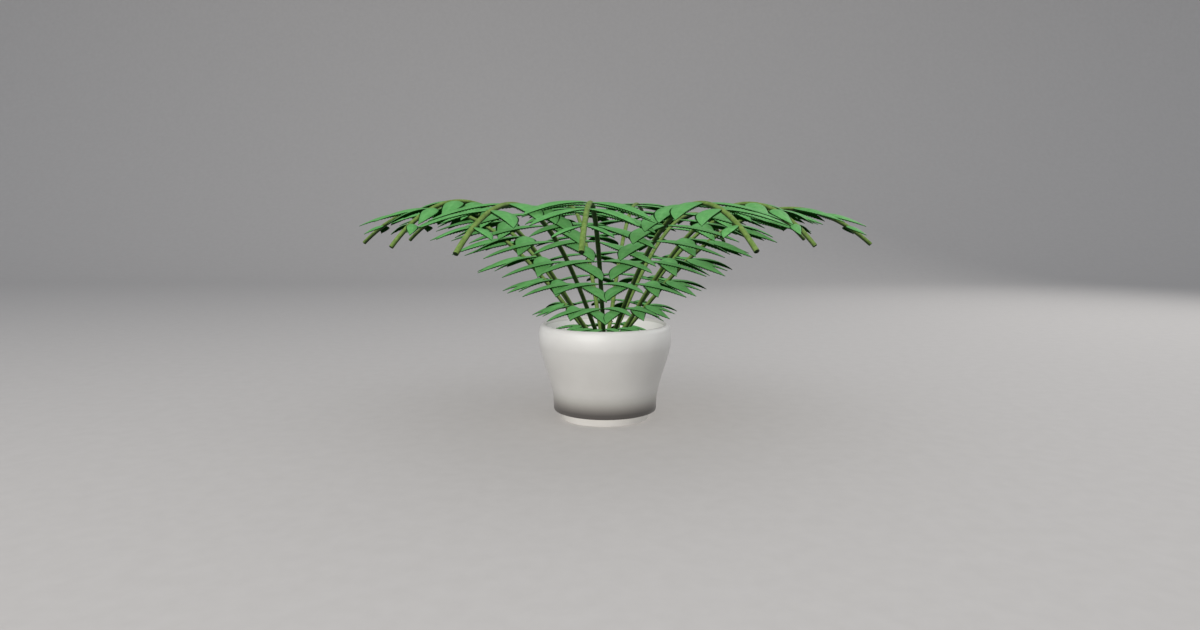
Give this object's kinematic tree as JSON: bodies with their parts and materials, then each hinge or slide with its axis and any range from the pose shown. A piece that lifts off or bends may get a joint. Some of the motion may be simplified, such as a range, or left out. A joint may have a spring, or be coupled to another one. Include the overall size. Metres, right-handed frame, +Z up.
{
  "type": "potted feather fern",
  "caption": "Feather fern with arching pinnate fronds rising from soil in a plain round white ceramic pot with a small recessed foot.",
  "frame": {"origin": "centre of the pot's foot, on the face that it stands on", "axes": "+Z up along the pot's axis; +X to the right and -Y towards the viewer of the picture"},
  "size_m": [0.5792, 0.5784, 0.2461],
  "materials": {
    "pot": "satin glaze",
    "soil": "rough, crumbly",
    "frond": "satin leaf"
  },
  "bodies": {
    "root": {"pot": "pot", "soil": "soil", "frond_01": "frond", "frond_02": "frond", "frond_03": "frond", "frond_04": "frond", "frond_05": "frond", "frond_06": "frond", "frond_07": "frond", "frond_08": "frond", "frond_09": "frond", "frond_10": "frond", "frond_11": "frond", "frond_12": "frond"}
  },
  "joints": []
}
